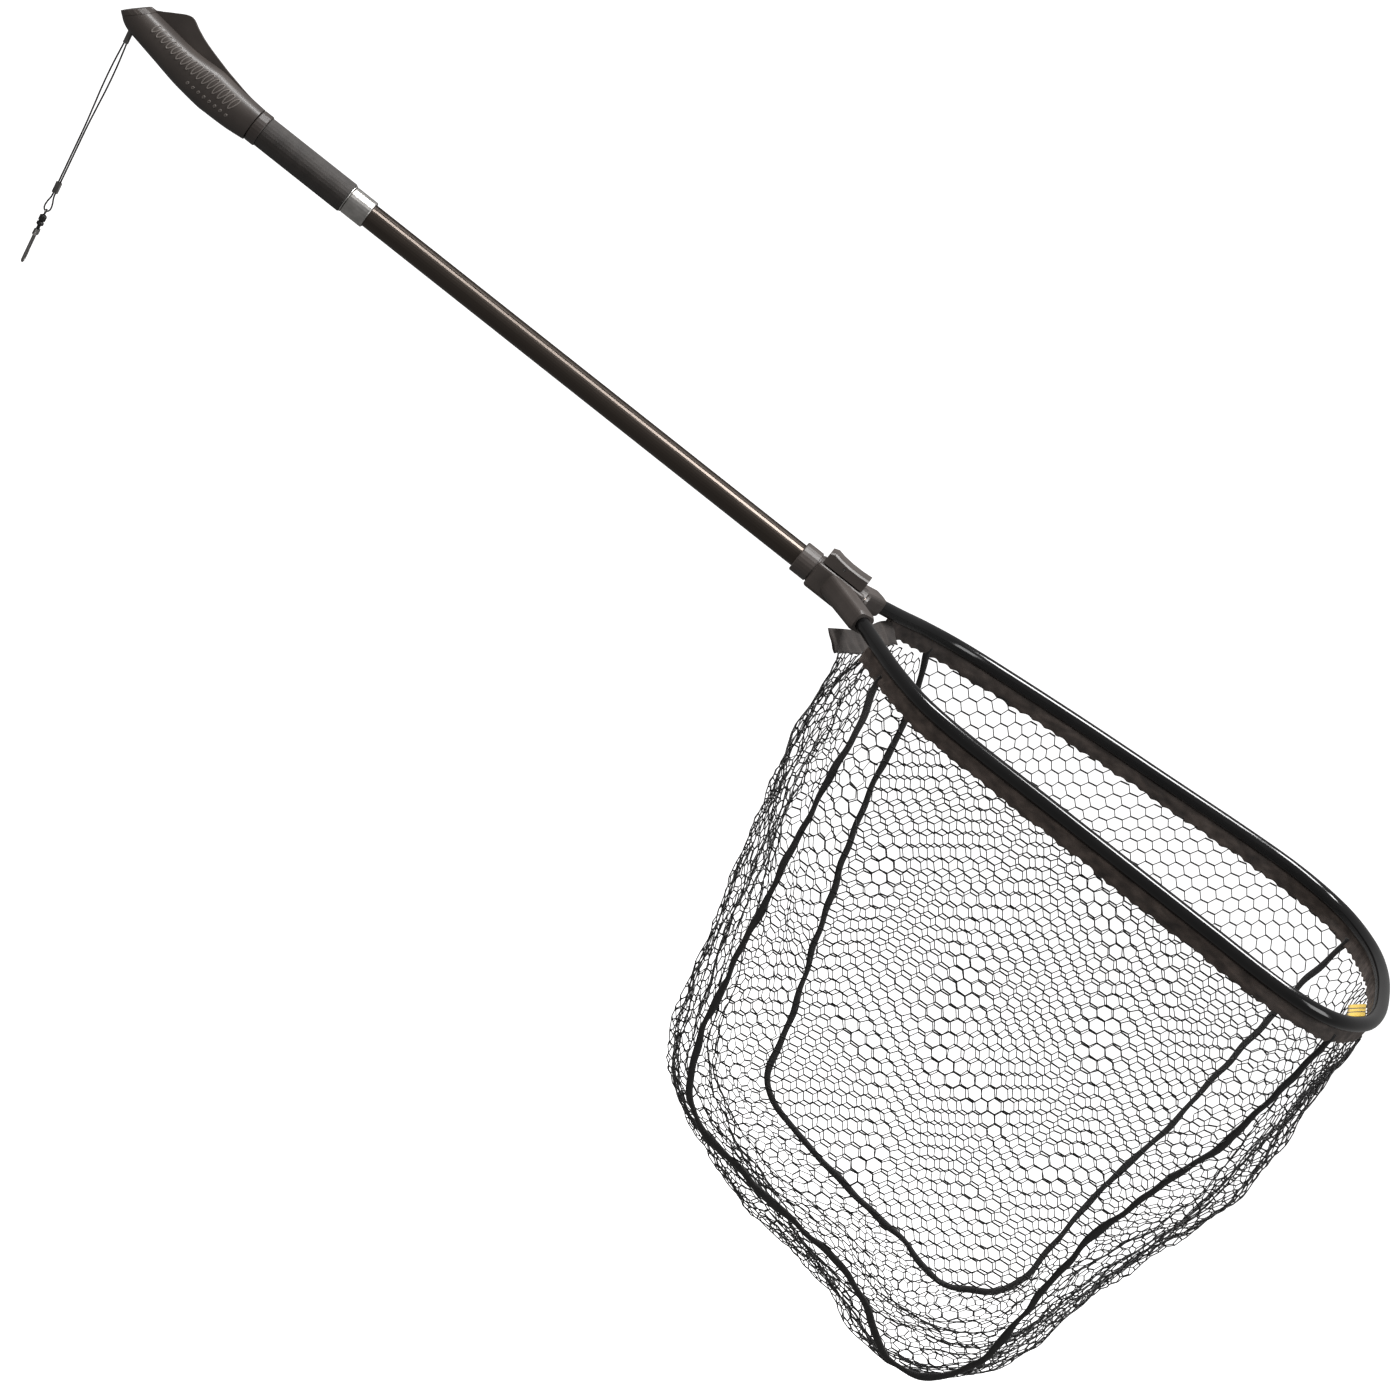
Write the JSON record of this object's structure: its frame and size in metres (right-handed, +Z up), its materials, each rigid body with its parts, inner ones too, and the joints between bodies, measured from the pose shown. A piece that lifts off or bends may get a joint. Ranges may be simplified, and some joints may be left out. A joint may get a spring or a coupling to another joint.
{
  "type": "landing net",
  "caption": "Long-handled landing net: a rounded hoop with a deep netting bag on a latched head that slides along a grooved handle tube, with a shaped grip and a clip lanyard.",
  "frame": {"origin": "on the handle tube's axis, in the middle of the rubber hand grip", "axes": "+X along the handle from the grip to the hoop, +Z up out of the hoop, the bag hanging towards -Z, +Y to the far side"},
  "size_m": [1.4364, 0.4734, 0.5558],
  "materials": {
    "shaft_metal": "dark bronze-grey anodised aluminium extrusion, glossy, with a groove and flutes",
    "grip_plastic": "dark brown-grey moulded plastic with a soft sheen",
    "grip_rubber": "dark matt brown-grey rubber",
    "collar_metal": "satin silver",
    "bright_steel": "plain steel",
    "yoke_plastic": "brown-grey moulded nylon, fine satin texture",
    "bush_plastic": "black low-friction plastic",
    "hoop_black": "glossy black coating",
    "hem_nylon": "dark brown-black woven nylon, creased",
    "binding_tape": "black woven binding tape",
    "net_mesh": "black rubber-coated hexagonal netting",
    "label_fabric": "plain yellow woven tab",
    "ferrule_metal": "dull grey metal",
    "lanyard_cord": "thin black cord",
    "swivel_black": "black"
  },
  "bodies": {
    "handle": {"shaft_tube": "shaft_metal", "shaft_rear_plug": "grip_plastic", "shaft_end_cap": "grip_plastic", "grip_band": "grip_plastic", "grip_sleeve": "grip_rubber", "grip_ring": "collar_metal", "collar": "collar_metal", "collar_screw": "bright_steel", "pommel_near_shell": "grip_plastic", "pommel_far_shell": "grip_plastic", "pommel_end_cap": "grip_plastic", "pommel_screw_1": "bright_steel", "pommel_screw_2": "bright_steel", "lanyard_pin": "bright_steel"},
    "head": {"yoke_body": "yoke_plastic", "rear_bush": "bush_plastic", "front_bush": "bush_plastic", "arm_screw_near": "bright_steel", "arm_screw_far": "bright_steel", "latch_pin": "bright_steel", "latch_spring": "bright_steel", "hoop_tube": "hoop_black", "keder_cord": "hem_nylon", "hem_band": "hem_nylon", "hem_bridge": "hem_nylon", "hem_label": "label_fabric", "net_near_panel": "net_mesh", "net_far_panel": "net_mesh", "bag_gusset": "net_mesh", "near_binding_tape": "binding_tape", "far_binding_tape": "binding_tape"},
    "latch": {"latch_lever": "yoke_plastic"},
    "plunger": {"latch_plunger": "bright_steel"},
    "lanyard": {"lanyard_ferrule": "ferrule_metal", "lanyard_cord": "lanyard_cord", "lanyard_crimp": "ferrule_metal", "swivel_eye": "bright_steel", "swivel_barrel": "swivel_black"},
    "hook": {"hook_collar": "swivel_black", "hook_body": "bright_steel", "gate_pin": "bright_steel"},
    "gate": {"hook_gate": "bright_steel"}
  },
  "joints": [
    {"name": "head_slide", "type": "slide", "parent": "handle", "child": "head", "axis": [1, 0, 0], "range_m": [-0.485, 0]},
    {"name": "latch_press", "type": "hinge", "parent": "head", "child": "latch", "pos_m": [0.606, 0, 0.0178], "axis": [0, 1, 0], "range_deg": [-6, 0], "stiffness_Nm_per_rad": 0.1, "springref_deg": 8.59, "deforming": ["latch_spring"]},
    {"name": "plunger_lift", "type": "slide", "parent": "head", "child": "plunger", "axis": [0, 0, 1], "range_m": [0, 0.00167]},
    {"name": "lanyard_swing", "type": "hinge", "parent": "handle", "child": "lanyard", "pos_m": [-0.1928, 0, 0.0005], "axis": [0, 1, 0], "range_deg": [-40, 65]},
    {"name": "hook_swivel", "type": "hinge", "parent": "lanyard", "child": "hook", "pos_m": [-0.15617, 0, -0.19154], "axis": [0.1874, 0, -0.9823], "continuous": true},
    {"name": "gate_open", "type": "hinge", "parent": "hook", "child": "gate", "pos_m": [-0.15429, 0.004, -0.20136], "axis": [0.9823, 0, 0.1874], "range_deg": [-16, 0], "stiffness_Nm_per_rad": 0.02, "springref_deg": 5.73}
  ],
  "couplings": [
    {"joint": "latch_press", "follows": "plunger_lift", "rad_per_m": -62.5}
  ]
}
